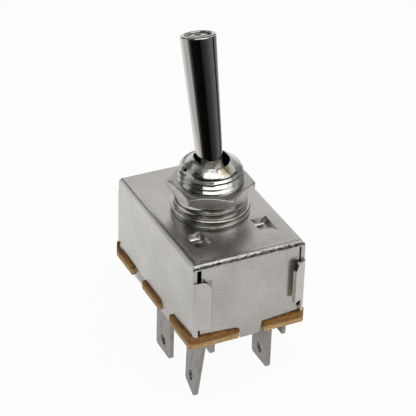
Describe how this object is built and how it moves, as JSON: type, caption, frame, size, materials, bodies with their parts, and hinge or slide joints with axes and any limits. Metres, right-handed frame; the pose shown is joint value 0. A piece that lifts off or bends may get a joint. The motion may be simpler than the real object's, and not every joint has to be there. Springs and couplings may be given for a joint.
{
  "type": "power take-off toggle switch",
  "caption": "Heavy-duty metal toggle switch with a folded steel frame, threaded bushing, tapered chrome lever and blade terminals under a laminated base.",
  "frame": {"origin": "on the bushing's axis, on the top face of its flange, which seats against the back of the panel", "axes": "+Z along the bushing out of the panel, Y along the frame's long side with the lever resting towards +Y, X along its short side"},
  "size_m": [0.0234, 0.0362, 0.0643],
  "materials": {
    "plated_steel": "satin zinc and nickel plate, rolled grain",
    "phenolic": "sheared paper phenolic laminate, amber brown",
    "nickel_bushing": "bright nickel on turned brass",
    "nickel_washer": "bright nickel plate",
    "nickel_nut": "satin nickel plate",
    "chrome_lever": "bright chrome plate",
    "lever_steel": "turned steel",
    "acetal": "smooth moulded acetal",
    "spring_steel": "drawn wire",
    "nylon": "moulded nylon",
    "liner_fibre": "vulcanised fibre sheet",
    "contact_copper": "stamped copper alloy",
    "tinned_brass": "tin plate on brass",
    "contact_silver": "silver faced rivet"
  },
  "bodies": {
    "housing": {"steel_frame": "plated_steel", "phenolic_base": "phenolic", "bushing": "nickel_bushing", "flat_washer": "nickel_washer", "lock_washer": "nickel_washer", "hex_nut": "nickel_nut", "insulating_liner": "liner_fibre", "front_left_terminal": "tinned_brass", "middle_left_terminal": "tinned_brass", "centre_terminal": "tinned_brass", "front_right_terminal": "tinned_brass", "front_left_rivet": "contact_silver", "middle_left_rivet": "contact_silver", "centre_rivet": "contact_silver", "front_right_rivet": "contact_silver"},
    "lever": {"lever_sleeve": "chrome_lever", "lever_core": "lever_steel", "pivot_pin": "lever_steel", "plunger_spring": "spring_steel"},
    "plunger": {"plunger": "acetal"},
    "carriage": {"carriage": "nylon", "left_bridge_contact": "contact_copper", "right_bridge_contact": "contact_copper", "left_contact_spring": "spring_steel", "right_contact_spring": "spring_steel"}
  },
  "joints": [
    {"name": "lever_throw", "type": "hinge", "parent": "housing", "child": "lever", "pos_m": [0, 0, 0.0056], "axis": [1, 0, 0], "range_deg": [0, 31]},
    {"name": "plunger_stroke", "type": "slide", "parent": "lever", "child": "plunger", "axis": [0, 0.2672, 0.9636], "range_m": [0, 0.0006], "stiffness_N_per_m": 800, "springref_m": -0.002, "deforming": ["plunger_spring"]},
    {"name": "carriage_slide", "type": "slide", "parent": "housing", "child": "carriage", "axis": [0, 1, 0], "range_m": [0, 0.00935]}
  ],
  "couplings": [
    {"joint": "carriage_slide", "follows": "lever_throw", "m_per_rad": 0.017287}
  ]
}
